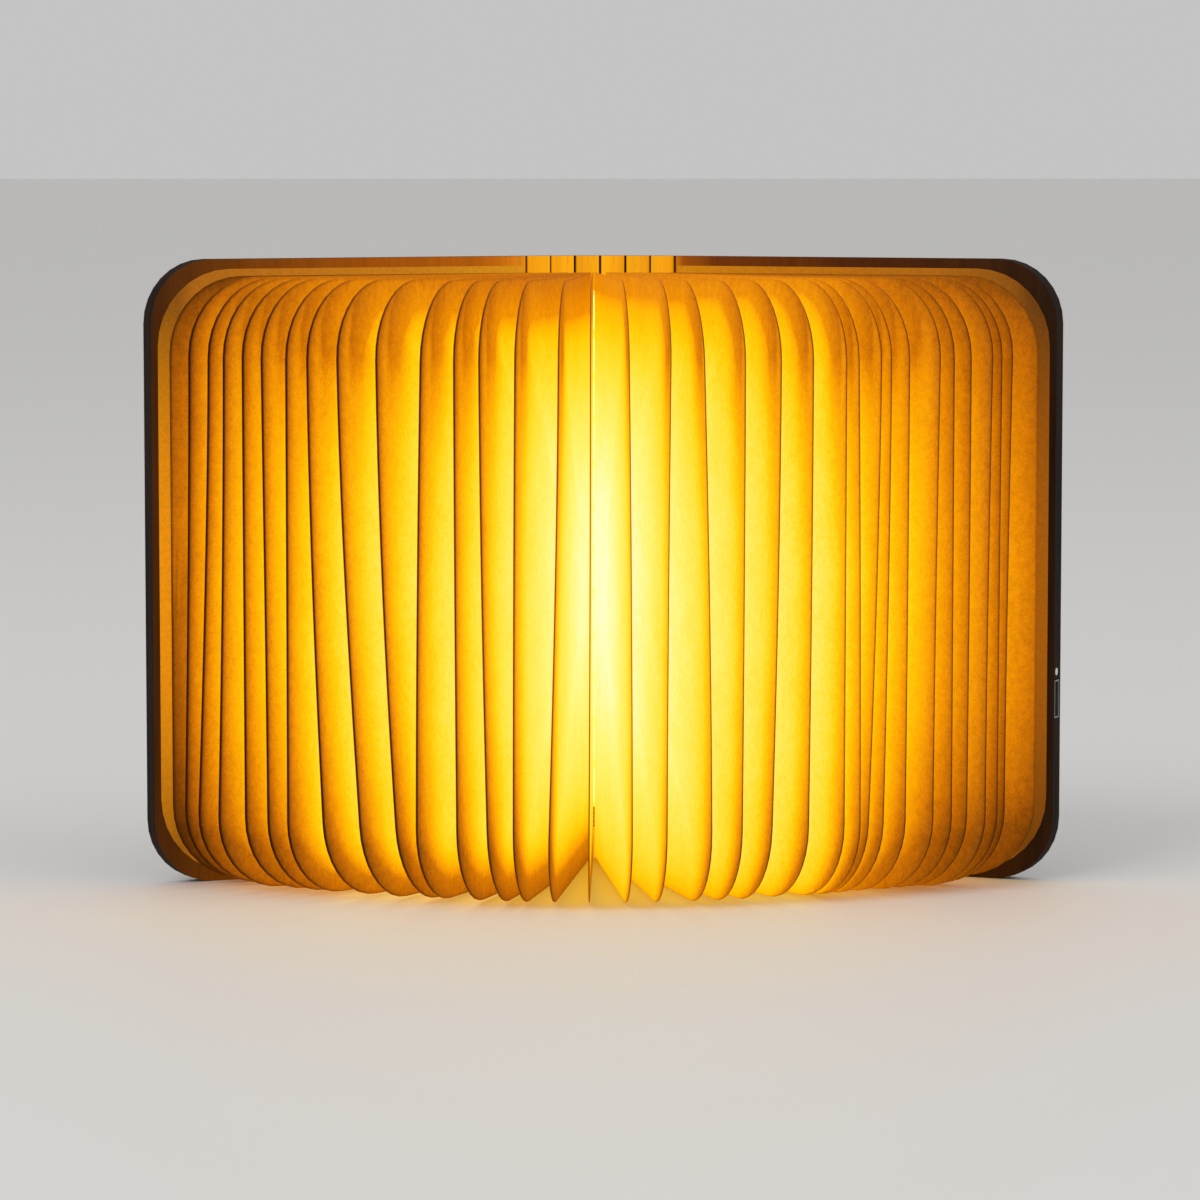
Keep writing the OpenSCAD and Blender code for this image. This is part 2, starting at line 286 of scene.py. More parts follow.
def noise(place, scale, detail=3.0, roughness=0.55, stretch=(1.0, 1.0, 1.0)):
    """Clouds with scale cells to a millimetre. A small stretch draws them out along that axis."""
    stretched = place * stretch
    return stretched.node(
        "ShaderNodeTexNoise", Vector=stretched, Scale=scale, Detail=detail, Roughness=roughness
    )


def bump(height, strength, distance_mm):
    return height.node(
        "ShaderNodeBump", Height=height, Strength=strength, Distance=distance_mm * MM
    )


def share_of_panel(place, body):
    """0 at a panel's hinge line, 1 at its far end, away from the spine's middle."""
    panel = panels[body]
    start = panel["start"].dot(panel["along"]) / MM
    along = place.toward((panel["along"].x, panel["along"].y, 0.0)) - start
    return along / (panel["length"] / MM)


def facing_in(root, body):
    """1 on the faces of a panel that look into the lamp, 0 on the others."""
    inward = panels[body]["inward"]
    normal = root.node("ShaderNodeTexCoord", out="Normal")
    return normal.toward((inward.x, inward.y, 0.0)).between(*TURNED_IN)


def up_from_floor(place):
    return place.toward((0.0, 0.0, 1.0))


def off_middle(place, middle, half):
    """0 at a middle height, 1 at half a span above it and -1 below it."""
    return (up_from_floor(place) - middle) / half


def repaint(material, *node_names):
    for node_name in node_names:
        for slot in frame["nodes"][node_name].material_slots:
            slot.material = material


print("finish helpers ready")

# %% [markdown]
# ## Glowing paper
# Each page is two thin sheets bonded along the rim, with the light behind them. The bonded rim is
# double and glued, so it stays dark. Further in, the sheets are single and closer to the LEDs, so
# the paper runs from deep orange through yellow to cream. Paint can't know that distance, so the
# page mesh carries it as a number on each vertex, light. The finish only fades it towards the head
# and the foot, breaks it up with clouds and fibres, and turns it into a colour. The LEDs light the
# middle of a page most, and towards the foot the rim of a page loses more light than its depth.

# %% Paper finish
GLOW_COLOURS = [
    (0.0, (30, 10, 0)), (0.035, (92, 45, 2)), (0.081, (140, 72, 3)), (0.147, (178, 96, 3)),
    (0.25, (210, 122, 2)), (0.379, (232, 146, 2)), (0.632, (249, 175, 1)), (1.028, (253, 203, 9)),
    (1.463, (254, 220, 50)), (2.475, (254, 239, 118)), (3.6, (254, 247, 190)), (5.0, (255, 251, 225)),
]
BRIGHTEST = 5.0
LIT_MIDDLE = 56.0
LIT_HALF = 45.0
AROUND_MIDDLE = (-0.1, 0.1)
RIM_FOOT_LOSS = 0.80
DEEP_FOOT_LOSS = 0.24
RIM_HEAD_LOSS = 0.42
MIDWAY_HEAD_LOSS = 0.70
DEEP_HEAD_LOSS = 0.40
MOST_FADED = 0.2
CLOUD_SHARE = 0.34
FIBRE_SHARE = 0.6
SPECK_SHARE = 1.2
MOTTLE_START = -0.07
THIN_PAPER = (112, 70, 7)
THICK_PAPER = (84, 50, 5)
# Painted shade: the paper's base colour turns this dark where little light comes through, at the glued rim.
SHADED_RIM_PAPER = (34, 16, 2)

glowing_paper, shader, root, place = start_finish(
    "glowing_paper", Roughness=0.8, Emission_Strength=1.0, Specular_IOR_Level=0.08
)
light = root.node("ShaderNodeAttribute", {"attribute_name": "light"}, out="Fac")
off_centre = off_middle(place, LIT_MIDDLE, LIT_HALF)
foot_loss = light.between(0.4, 2.0).mix(RIM_FOOT_LOSS, DEEP_FOOT_LOSS)
head_loss = light.between(0.55, 1.0).mix(RIM_HEAD_LOSS, MIDWAY_HEAD_LOSS)
head_loss = light.between(1.3, 1.9).mix(head_loss, DEEP_HEAD_LOSS)
loss = off_centre.between(*AROUND_MIDDLE).mix(foot_loss, head_loss)
falloff = (1.0 - loss * (off_centre * off_centre)).curve("MAXIMUM", MOST_FADED)
cloud = noise(place, scale=0.09)
fibre = noise(place, scale=0.8, detail=4.0, roughness=0.75, stretch=(1.0, 1.0, 0.8))
speck = noise(place, scale=2.8, roughness=0.8)
mottle = MOTTLE_START + CLOUD_SHARE * cloud + FIBRE_SHARE * fibre + SPECK_SHARE * speck
glow = light * falloff * mottle / BRIGHTEST
sheet = fibre.between(0.35, 0.65).mix(colour(*THICK_PAPER), colour(*THIN_PAPER))
# The base colour darkens where little light comes through, at the glued rim: a painted shade for the rim's dark
# line.
wire(
    root, shader,
    Base_Color=light.between(0.0, 0.3).mix(colour(*SHADED_RIM_PAPER), sheet),
    Emission_Color=glow.ramp([(level / BRIGHTEST, tone) for level, tone in GLOW_COLOURS]),
    Normal=bump(fibre, strength=0.3, distance_mm=0.06),
)
print("paper finish", glowing_paper.name)

# %% [markdown]
# ## The pages
# A page could be a plane with a picture of a glow, but its rim would look drawn on. Here its outline
# is drawn as nested loops: each loop is the rim moved inwards by a set depth, with the round corners
# moved along. The loops stand close together at the rim, where the glow changes fast, and far apart
# inside. The rim is a little thicker than the rest, because the two sheets are bonded there. A page
# starts a little behind its fold line.

# %% Page outline and loops
RIM_DEPTHS = [0.0, 0.15, 0.35, 0.6, 1.0, 1.6, 2.5, 4.0, 6.0, 9.0, 13.0, 18.0, 25.0, 35.0, 48.0]
CORNER_STEPS = 9
RUN_STEPS = 4
RISE_STEPS = 10
CORNER_RADIUS = 15.0
LEAST_RADIUS = 0.4
FOLD_BACK = -0.1


def round_corner(middle_along, middle_up, radius, first_turn):
    """A quarter of a circle: along, up, and how much each point belongs to the fore-edge."""
    points = []
    for i in range(CORNER_STEPS + 1):
        turn = math.radians(first_turn + 90 * i / CORNER_STEPS)
        across, up = math.cos(turn), math.sin(turn)
        points.append((middle_along + radius * across, middle_up + radius * up, across))
    return points


def page_loop(depth, length, foot, top):
    """Points of one loop, from the fold round the fore-edge and back: along and up in millimetres,
    and how much the point belongs to the fore-edge, from 0 at the head and foot to 1."""
    radius = max(CORNER_RADIUS - depth, LEAST_RADIUS)
    edge, low, high = length - depth, foot + depth, top - depth
    turn_in = edge - radius
    run = (turn_in - FOLD_BACK) / RUN_STEPS
    points = [(FOLD_BACK + run * i, low, 0.0) for i in range(RUN_STEPS)]
    points += round_corner(turn_in, low + radius, radius, -90)
    rise = high - low - 2 * radius
    points += [(edge, low + radius + rise * i / RISE_STEPS, 1.0) for i in range(1, RISE_STEPS)]
    points += round_corner(turn_in, high - radius, radius, 0)
    points += [(turn_in - run * i, high, 0.0) for i in range(1, RUN_STEPS + 1)]
    return points


print("loops per face", len(RIM_DEPTHS), "the deepest at", RIM_DEPTHS[-1], "mm")

# %% [markdown]
# The light grows with the depth from the rim. The two faces of a page don't glow alike. On its right
# face the bond along the fore-edge is a wide dark line, and the glow grows slowly from there. On its
# left face the line is thin and pale, and the glow starts brighter, most on the pages in the middle.
# A bond is given by the depths where it starts to fade and where it ends, and by how dark it is. At
# the head and the foot it shows less, and a point seems deeper, because light also comes in there from
# the open ends. How well the LEDs light a page depends on how far it turns to the side, as two tables
# say. What lies deepest is held back, because paper that near to the lamp can't grow much brighter.

# %% How much light a vertex carries
RIGHT_FACE = 1
LEFT_FACE = -1
BOND = {RIGHT_FACE: (0.12, 0.6, 1.0), LEFT_FACE: (0.0, 0.3, 0.6)}
BOND_AT_ENDS = 0.25
OPEN_HEAD = 6.0
OPEN_FOOT = {RIGHT_FACE: 2.8, LEFT_FACE: 6.5}
LEFT_START = 1.6
LEFT_GAIN = 1.2
LEFT_MIDDLE = 4.0
MIDDLE_TURN = 24.0
REACH = 6.0
SOFTNESS = 0.8
KNEE = 1.6
PAST_KNEE = 0.45
LIGHT_BY_TURN = {
    RIGHT_FACE: [(0, 0.86), (15, 0.9), (30, 1.04), (42, 1.14), (48, 1.08), (56, 0.86), (63, 0.52)],
    LEFT_FACE: [
        (0, 0.88), (12, 0.92), (22, 1.12), (32, 1.25), (38, 1.0), (46, 0.54), (54, 0.4), (63, 0.36)
    ],
}


def smooth_step(value, low, high):
    share = min(max((value - low) / (high - low), 0.0), 1.0)
    return share * share * (3 - 2 * share)


def read_table(table, value):
    for (low, start), (high, end) in zip(table, table[1:]):
        if value <= high:
            return start + (end - start) * (value - low) / (high - low)
    return table[-1][1]


def light_at(depth, face, turned, edge_share, at_head):
    """The light behind the paper at a depth from the rim, on a page turned to the side by degrees."""
    bond_start, bond_end, bond_dark = BOND[face]
    seen = depth
    if face == LEFT_FACE:
        seen = LEFT_GAIN * depth + LEFT_START + LEFT_MIDDLE * max(0.0, 1 - turned / MIDDLE_TURN)
    seen += (OPEN_HEAD if at_head else OPEN_FOOT[face]) * (1 - edge_share)
    bond = BOND_AT_ENDS + (1 - BOND_AT_ENDS) * edge_share
    bonded = 1 - bond_dark * bond * (1 - smooth_step(depth, bond_start, bond_end))
    light = (seen / REACH) ** SOFTNESS * bonded * read_table(LIGHT_BY_TURN[face], turned)
    return min(light, KNEE) + PAST_KNEE * max(light - KNEE, 0.0)


for depth in RIM_DEPTHS[2::4]:
    straight = [round(light_at(depth, face, 0, 1.0, True), 2) for face in (RIGHT_FACE, LEFT_FACE)]
    print("depth", depth, "light", straight)

# %% [markdown]
# Folded paper never stands quite straight. Some pages lean a few degrees more at the foot or at the
# head. A vertex leans by a share w of the turn at which the lamp is shut, and this lean is built into
# the page's mesh.

# %% Lean of a page
LEANS = {
    1: ("foot", 2.7), 2: ("foot", 4.4), 3: ("foot", 2.4), 5: ("head", 1.0), 7: ("foot", 3.4),
    8: ("foot", 4.5), 9: ("foot", 3.9), 10: ("head", 1.1), 12: ("foot", 1.4), 13: ("head", 0.4),
    14: ("foot", 1.7), 16: ("head", 0.6), 17: ("head", 0.6), 18: ("head", 1.5), 19: ("foot", 0.4),
    20: ("foot", 1.6), 23: ("head", 0.7), 24: ("foot", 2.6), 25: ("foot", 1.5), 26: ("foot", 0.5),
    27: ("head", 1.3), 29: ("foot", 0.5), 30: ("head", 1.5), 31: ("head", 0.6), 32: ("head", 2.0),
}
MOST_LEAN = 0.98
STRAIGHT_REACH = 1000.0
couplings = {c["joint"]: c for c in frame["record"]["behaviour"]["couplings"]}
ranges = {joint["name"]: joint["range_deg"] for joint in frame["record"]["behaviour"]["joints"]}


def shut_turn(joint_name):
    """Turn of a page about +Z, in degrees, from the open pose to the shut lamp."""
    coupling = couplings[joint_name]
    return coupling["ratio"] * ranges[coupling["follows"]][0] * joints[joint_name]["axis"][2]


def step_back(share):
    """The place where a smooth step from 0 to 1 reaches a share."""
    return 0.5 - math.sin(math.asin(1 - 2 * share) / 3)


def lean_of(number, foot, top):
    """The heights where a page's lean starts and would be full, and its full turn."""
    end, degrees = LEANS.get(number, ("foot", 0.0))
    full = shut_turn(f"page_{number:02d}_fold")
    share = min(degrees / abs(full), MOST_LEAN)
    reach = (top - foot) / step_back(share) if share > 0 else STRAIGHT_REACH
    start, away = (top, -1) if end == "foot" else (foot, 1)
    return {"start": start, "full_at": start + away * reach, "turn": full}


def lean_at(lean, up):
    share = smooth_step((up - lean["start"]) / (lean["full_at"] - lean["start"]), 0.0, 1.0)
    return math.radians(lean["turn"] * share)


print("pages that lean", len(LEANS))

# %% [markdown]
# The mesh of a page joins its loops with quads. The rim is raised by a hair, and the sheet between is
# thinner. The same function makes the two end leaves, which have no fold of their own and no lean.

# %% Build one page
RIM_HALF = 0.11
SHEET_HALF = 0.09
RIM_RISE = RIM_HALF - SHEET_HALF
RIM_SLOPE = (0.4, 1.2)


def new_piece(name, mesh, material):
    """An object with one material, made from a bmesh."""
    data = bpy.data.meshes.new(name)
    mesh.to_mesh(data)
    mesh.free()
    data.materials.clear()
    data.materials.append(material)
    piece = bpy.data.objects.new(name, data)
    bpy.context.collection.objects.link(piece)
    return piece


def join_loops(mesh, right, left):
    """Close a page with quads: within each face, between the faces at the rim, and at the fold."""
    for loops in (right, left):
        for outer, inner in zip(loops, loops[1:]):
            for i in range(len(outer) - 1):
                mesh.faces.new([outer[i], outer[i + 1], inner[i + 1], inner[i]])
        mesh.faces.new(loops[-1])
    for i in range(len(right[0]) - 1):
        mesh.faces.new([left[0][i], left[0][i + 1], right[0][i + 1], right[0][i]])
    for k in range(len(right) - 1):
        for end in (0, -1):
            mesh.faces.new([right[k][end], right[k + 1][end], left[k + 1][end], left[k][end]])
    mesh.faces.new([right[-1][0], right[-1][-1], left[-1][-1], left[-1][0]])
    bmesh.ops.recalc_face_normals(mesh, faces=mesh.faces)


def build_page(name, fold, direction, length, foot, top, half, lean, dimming=1.0, rim_dark=1.0):
    """A page or leaf, from its fold line's plan point and its direction in plan. Lengths are in
    millimetres, and half is half the thickness of the sheet inside the rim."""
    mesh = bmesh.new()
    light_layer = mesh.verts.layers.float.new("light")
    sideways = abs(math.degrees(math.atan2(direction.x, -direction.y)))
    middle = (foot + top) / 2

    def vertex(along, up, edge_share, face, depth, offset):
        turned = direction.copy()
        turned.rotate(Matrix.Rotation(lean_at(lean, up), 2))
        normal = Vector((-turned.y, turned.x))
        spot = fold + turned * along * MM + normal * offset * MM
        made = mesh.verts.new((spot.x, spot.y, up * MM))
        light = light_at(depth, face, sideways, edge_share * rim_dark, up > middle)
        made[light_layer] = light * dimming
        return made

    loops = {RIGHT_FACE: [], LEFT_FACE: []}
    for face in (RIGHT_FACE, LEFT_FACE):
        for depth in RIM_DEPTHS:
            offset = face * (half + RIM_RISE * (1 - smooth_step(depth, *RIM_SLOPE)))
            outline = page_loop(depth, length, foot, top)
            loops[face].append([vertex(*point, face, depth, offset) for point in outline])
    join_loops(mesh, loops[RIGHT_FACE], loops[LEFT_FACE])
    page = new_piece(name, mesh, glowing_paper)
    for polygon in page.data.polygons:
        polygon.use_smooth = True
    return page


print("page builder ready")

# %% [markdown]
# The fold line of a page is its hinge in the frame, and its direction follows from the corners of the
# solid that lie furthest from that line. So nothing is typed in twice: when the frame changes, the
# pages follow.

# %% Make the pages
PAGE_COUNT = 32
FORE_EDGE_BAND = 0.3


def plan_of(node_name, fold):
    """Direction and length of a sheet in the plan view, from its fold line."""
    corners = plan_corners(node_name)
    reach = max((corner - fold).length for corner in corners)
    far = [corner for corner in corners if (corner - fold).length > reach - FORE_EDGE_BAND * MM]
    middle = sum(far, Vector((0, 0))) / len(far)
    return (middle - fold).normalized(), reach / MM


pages = []
for number in range(1, PAGE_COUNT + 1):
    node_name = f"page_{number:02d}"
    joint = joints[f"{node_name}_fold"]
    low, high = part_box(node_name)
    foot, top = low[2] / MM, high[2] / MM
    fold = Vector(joint["pos_m"][:2])
    direction, reach = plan_of(node_name, fold)
    lean = lean_of(number, foot, top)
    page = build_page(
        f"paper_page_{number:02d}", fold, direction, reach, foot, top, SHEET_HALF, lean
    )
    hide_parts(node_name)
    lean["start"] * MM
    lean["full_at"] * MM
    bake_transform(page)
    pages.append(page)
print("pages", len(pages), "vertices each", len(pages[0].data.vertices))

# %% [markdown]
# An end leaf is glued flat on each cover's liner. It is made like a page, with the plan direction of
# its cover, and rides on the cover. The covers stand further from the LEDs than any page, so the leaf
# is dimmer, and its glued rim is less dark than a page's.

# %% Make the end leaves
NO_LEAN = {"start": 0.0, "full_at": 1.0, "turn": 0.0}
LEAF_DIMMING = {"left": 0.42, "right": 0.6}
LEAF_RIM_DARK = 0.45
for side in ("left", "right"):
    node_name = f"{side}_end_leaf"
    cover = panels[f"{side}_cover"]
    from_hinge = [corner - cover["start"] for corner in plan_corners(node_name)]
    runs = [reach.dot(cover["along"]) for reach in from_hinge]
    levels = [reach.dot(cover["inward"]) for reach in from_hinge]
    middle = (max(levels) + min(levels)) / 2
    half = (max(levels) - min(levels)) / 2 / MM - RIM_RISE
    fold = cover["start"] + cover["along"] * (min(runs) - FOLD_BACK * MM) + cover["inward"] * middle
    length = (max(runs) - min(runs)) / MM + FOLD_BACK
    low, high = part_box(node_name)
    leaf = build_page(
        f"paper_{node_name}", fold, cover["along"], length, low[2] / MM, high[2] / MM, half,
        NO_LEAN, LEAF_DIMMING[side], LEAF_RIM_DARK,
    )
    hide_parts(node_name)
    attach(leaf, f"{side}_cover")
    print(node_name, "length", round(length - FOLD_BACK, 1), "mm")

# %% [markdown]
# ## Walnut
# Walnut is brown with darker lines that follow the trunk. The lines come from one noise that is
# squeezed across the grain and drawn long along it, and the fine pores from a second one. Where a
# face looks into the lamp, its own light falls on it. That light is added as a faint warm emission
# that fades from the spine to the fore-edge, so it stays right in every pose.

# %% Walnut finish
WOOD_ROUGHNESS = 0.6
GRAIN_SPREAD = (0.32, 0.68)
PORE_SPREAD = (0.56, 0.72)
PORE_SHADE = 0.55


def wood_tones(place, dark, light):
    bands = noise(place, scale=0.35, detail=6.0, roughness=0.6, stretch=(1.0, 1.0, 0.06))
    pores = noise(place, scale=2.2, roughness=0.7, stretch=(1.0, 1.0, 0.05))
    tone = bands.between(*GRAIN_SPREAD).mix(colour(*dark), colour(*light))
    pitted = pores.between(*PORE_SPREAD)
    return bands, pores, pitted, pitted.mix(tone, tone * PORE_SHADE)


def inward_of_panel(place, body):
    """Millimetres from a panel's outer face, towards the inside of the lamp."""
    panel = panels[body]
    start = panel["start"].dot(panel["inward"]) / MM
    return place.toward((panel["inward"].x, panel["inward"].y, 0.0)) - start


def walnut_finish(name, tones, body=None, glow=(), lit_from=(0.0, 0.0)):
    """glow is a list of (share of the panel's length, colour) for the faces that look inwards.
    lit_from gives the inward places where that light starts and is full."""
    material, shader, root, place = start_finish(name, Specular_IOR_Level=0.08)
    bands, pores, pitted, base = wood_tones(place, *tones)
    wire(
        root, shader,
        Base_Color=base,
        Roughness=WOOD_ROUGHNESS + 0.2 * pores,
        Normal=bump(bands * 0.5 - pitted * 0.5, strength=0.3, distance_mm=0.1),
    )
    if body:
        lamp_light = share_of_panel(place, body).ramp(glow)
        reached = facing_in(root, body) * inward_of_panel(place, body).between(*lit_from)
        grain = 0.72 + 0.56 * bands - 0.25 * pitted
        shader.inputs["Emission Strength"].default_value = 1.0
        wire(root, shader, Emission_Color=lamp_light * (reached * grain))
    return material


print("walnut finish ready")

# %% [markdown]
# The covers' boards are dark walnut, and only their rims show. Their tones are darkened towards black
# as painted shade, because the outer rims get none of the lamp's light. The slats are lit from close
# by, so they glow almost evenly. Nothing lights the veneer on the outside.

# %% Walnut pieces
# Painted shade: the board tones are darkened towards black for the unlit outer rims.
SHADED_BOARD_TONES = ((20, 12, 7), (38, 23, 13))
SLAT_TONES = ((34, 19, 8), (66, 40, 20))
VENEER_TONES = ((44, 25, 15), (96, 59, 35))
BOARD_LIT_FROM = (3.4, 3.5)
SLAT_LIT_FROM = (0.2, 1.4)
BOARD_GLOW = {
    "left": [
        (0.0, (234, 142, 17)), (0.06, (208, 114, 8)), (0.14, (174, 89, 4)), (0.5, (146, 71, 2)),
        (0.85, (96, 47, 1)), (1.0, (62, 29, 1))
    ],
    "right": [
        (0.0, (226, 130, 12)), (0.04, (150, 74, 4)), (0.12, (108, 48, 2)), (0.5, (70, 30, 2)),
        (0.85, (46, 20, 1)), (1.0, (24, 9, 1))
    ],
}
SLAT_GLOW = [(0.0, (250, 170, 14)), (0.5, (246, 162, 11)), (1.0, (240, 152, 9))]
for side in ("left", "right"):
    cover = f"{side}_cover"
    board = walnut_finish(
        f"{side}_board_walnut", SHADED_BOARD_TONES, cover, BOARD_GLOW[side], BOARD_LIT_FROM
    )
    repaint(board, f"{cover}_board")
for slat_body in PANEL_BODIES[1:-1]:
    slat = walnut_finish(f"{slat_body}_walnut", SLAT_TONES, slat_body, SLAT_GLOW, SLAT_LIT_FROM)
    repaint(slat, f"spine_{slat_body}")
veneer_walnut = walnut_finish("veneer_walnut", VENEER_TONES)
repaint(veneer_walnut, "left_cover_veneer", "right_cover_veneer")
print("walnut on 10 pieces")

# %% [markdown]
# ## Liner
# A sheet of matt brown paper lines the inside of each cover. Only its rim shows, as a bright band
# beside the end leaf. It is lit as the board is, only more, because it is lighter and lies further in.

# %% Liner finish
LINER_MIDDLE = 58.0
LINER_HALF = 58.0
LINER_RIM = (0.88, 0.97)
LINER_LOSS = 0.3
LINER_RIM_LOSS = 0.85
LINER_TONES = ((66, 42, 14), (90, 60, 22))
LINER_GLOW = {
    "left": [
        (0.0, (248, 166, 22)), (0.3, (226, 140, 24)), (0.7, (208, 124, 22)), (0.93, (184, 106, 16)),
        (0.96, (226, 138, 4))
    ],
    "right": [
        (0.0, (236, 150, 8)), (0.3, (214, 126, 8)), (0.7, (190, 112, 14)), (0.93, (136, 74, 6)),
        (0.96, (150, 80, 2))
    ],
}


def liner_finish(side):
    cover = f"{side}_cover"
    material, shader, root, place = start_finish(
        f"{side}_liner_paper", Roughness=0.85, Emission_Strength=1.0, Specular_IOR_Level=0.1
    )
    fibre = noise(place, scale=1.4, detail=4.0, roughness=0.7)
    off_centre = off_middle(place, LINER_MIDDLE, LINER_HALF)
    share = share_of_panel(place, cover)
    loss = share.between(*LINER_RIM).mix(LINER_LOSS, LINER_RIM_LOSS)
    falloff = 1.0 - loss * (off_centre * off_centre)
    lamp_light = share.ramp(LINER_GLOW[side])
    dark, pale = LINER_TONES
    wire(
        root, shader,
        Base_Color=fibre.mix(colour(*dark), colour(*pale)),
        Emission_Color=lamp_light * (facing_in(root, cover) * falloff * (0.7 + 0.6 * fibre)),
        Normal=bump(fibre, strength=0.25, distance_mm=0.05),
    )
    return material


for side in ("left", "right"):
    repaint(liner_finish(side), f"{side}_cover_liner")
print("liners", 2)

# %% [markdown]
# ## Hinge cloth
# A dark woven cloth is glued over the back of the spine and bends at every groove. The solid is cut
# at the middle of each slat into strips, one for each crossing, spanning the two panels that it
# joins. Extra cuts near the hinge line add edges there. The flat ribbon that feeds the LEDs crosses
# the same hinges, so it is cut in the same way.

# %% Cut a strip out of a solid
BEND_HALF = 1.0
BEND_CUTS = [-1.0, -0.5, 0.5, 1.0]
CUT_TOLERANCE = 1e-7


def cut_upright(mesh, point, normal, clear=False):
    """Cut a mesh along an upright plane. With clear, what lies on the normal's side goes."""
    return bmesh.ops.bisect_plane(
        mesh, geom=mesh.verts[:] + mesh.edges[:] + mesh.faces[:], dist=CUT_TOLERANCE,
        plane_co=(point.x, point.y, 0), plane_no=(normal.x, normal.y, 0), clear_outer=clear,
    )


def cut_strip(node_name, name, ends, bends, material):
    """A strip of a node. ends and bends are (point, normal): ends cut it off, bends only add edges."""
    mesh = bmesh.new()
    mesh.from_mesh(frame["nodes"][node_name].data)
    for point, normal in bends:
        cut_upright(mesh, point, normal)
    for point, normal in ends:
        cut = cut_upright(mesh, point, normal, clear=True)
        rim = [piece for piece in cut["geom_cut"] if isinstance(piece, bmesh.types.BMEdge)]
        bmesh.ops.holes_fill(mesh, edges=rim)
    return new_piece(name, mesh, material)


def middle_of(body):
    panel = panels[body]
    return panel["start"] + panel["along"] * panel["length"] / 2


print("strip cutter ready")

# %% [markdown]
# The strips share one list of crossings: the hinge point, the body before it and the body after it.
# The middle groove is two crossings, because the spine itself stands between its two slats.

# %% Crossings
RIGHTWARD = Vector((1.0, 0.0))
chain = PANEL_BODIES[:MIDDLE + 1] + ["spine"] + PANEL_BODIES[MIDDLE + 1:]
crossing_points = hinge_points[:MIDDLE + 1] + hinge_points[MIDDLE:]


def rightward(body):
    """A body's direction along the strip, from the left cover to the right one."""
    if body == "spine":
        return RIGHTWARD
    along = panels[body]["along"]
    return along if along.x > 0 else -along


crossings = [
    {"point": point, "before": chain[i], "after": chain[i + 1],
     "way": (rightward(chain[i]) + rightward(chain[i + 1])).normalized()}
    for i, point in enumerate(crossing_points)
]
print("crossings", len(crossings))

# %% [markdown]
# Each crossing gets its strip.

# %% Cut the strips
def blend_strips(node_name, prefix, first, last, material, cut_after=None):
    """Cut a node into one strip per crossing. cut_after ends the last strip inside its panel."""
    strips = []
    for i, crossing in enumerate(crossings[first:last + 1]):
        before, after, point, way = (crossing[key] for key in ("before", "after", "point", "way"))
        ends = []
        if i > 0:
            start = point if before == "spine" else middle_of(before)
            ends.append((start, -rightward(before)))
        if i < last - first:
            end = point if after == "spine" else middle_of(after)
            ends.append((end, rightward(after)))
        elif cut_after:
            ends.append((point + rightward(after) * cut_after * MM, rightward(after)))
        bends = [(point + way * step * BEND_HALF * MM, way) for step in BEND_CUTS]
        strip = cut_strip(node_name, f"{prefix}_{i + 1}", ends, bends, material)
        low, high = (0.0 if body == "spine" else BEND_HALF * MM for body in (before, after))
        start, end = point - way * low, point + way * high
        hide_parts(node_name)
        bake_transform(strip)
        strips.append(strip)
    return strips


# %% [markdown]
# The weave is two sets of threads at right angles. Each set is a sine wave across its threads, and
# the higher of the two lies on top. The cloth is nearly flat in plan, so the sideways position is
# enough to count the upright threads.

# %% Hinge cloth
THREADS_PER_MM = 2.4
cloth_weave, shader, root, place = start_finish("hinge_cloth_weave", Sheen_Weight=0.25)
rate = 2 * math.pi * THREADS_PER_MM
warp = (place.toward((1.0, 0.0, 0.0)) * rate).curve("SINE")
weft = (up_from_floor(place) * rate).curve("SINE")
thread = warp.curve("MAXIMUM", weft) * 0.5 + 0.5
slub = noise(place, scale=0.8, detail=4.0)
wire(
    root, shader,
    Base_Color=thread.mix(colour(22, 15, 10), colour(62, 44, 32)) * (0.7 + 0.6 * slub),
    Roughness=0.95 - 0.15 * thread,
    Normal=bump(thread + 0.4 * slub, strength=0.6, distance_mm=0.08),
)
last_crossing = len(crossings) - 1
cloth = blend_strips("spine_cloth", "hinge_cloth", 0, last_crossing, cloth_weave)
print("cloth strips", len(cloth))

# %% [markdown]
# ## LED ribbon
# The ribbon is amber film with copper tracks inside. The tracks run along it, so they are stripes
# over its height. Past the cover's hinge it lies still in its channel.

# %% LED ribbon
RIBBON_IN_COVER = 3.0
TRACKS_PER_MM = 1.1
FIRST_LIT_GROOVE = HINGES.index("left_groove_2")
ribbon_film, shader, root, place = start_finish("amber_film", Coat_Weight=0.3)
track = (up_from_floor(place) * (2 * math.pi * TRACKS_PER_MM)).curve("SINE").between(0.1, 0.4)
smudge = noise(place, scale=0.5)
wire(
    root, shader,
    Base_Color=track.mix(colour(150, 84, 24), colour(196, 120, 60)),
    Roughness=0.3 + 0.25 * smudge,
    Normal=bump(track, strength=0.3, distance_mm=0.04),
)
ribbon = blend_strips(
    "led_ribbon", "ribbon_strip", FIRST_LIT_GROOVE, last_crossing, ribbon_film,
    cut_after=RIBBON_IN_COVER,
)
right_cover = panels["right_cover"]
cover_ribbon = cut_strip(
    "led_ribbon", "ribbon_in_cover",
    [(right_cover["start"] + right_cover["along"] * RIBBON_IN_COVER * MM, -right_cover["along"])],
    [], ribbon_film,
)
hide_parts("led_ribbon")
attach(cover_ribbon, "right_cover")
print("ribbon strips", len(ribbon) + 1)

# %% [markdown]
# ## LED bars
# Each bar is a white board with a row of milky lenses. The lenses repeat at an even pitch, so a
# repeating mask over the height tells lens from board.

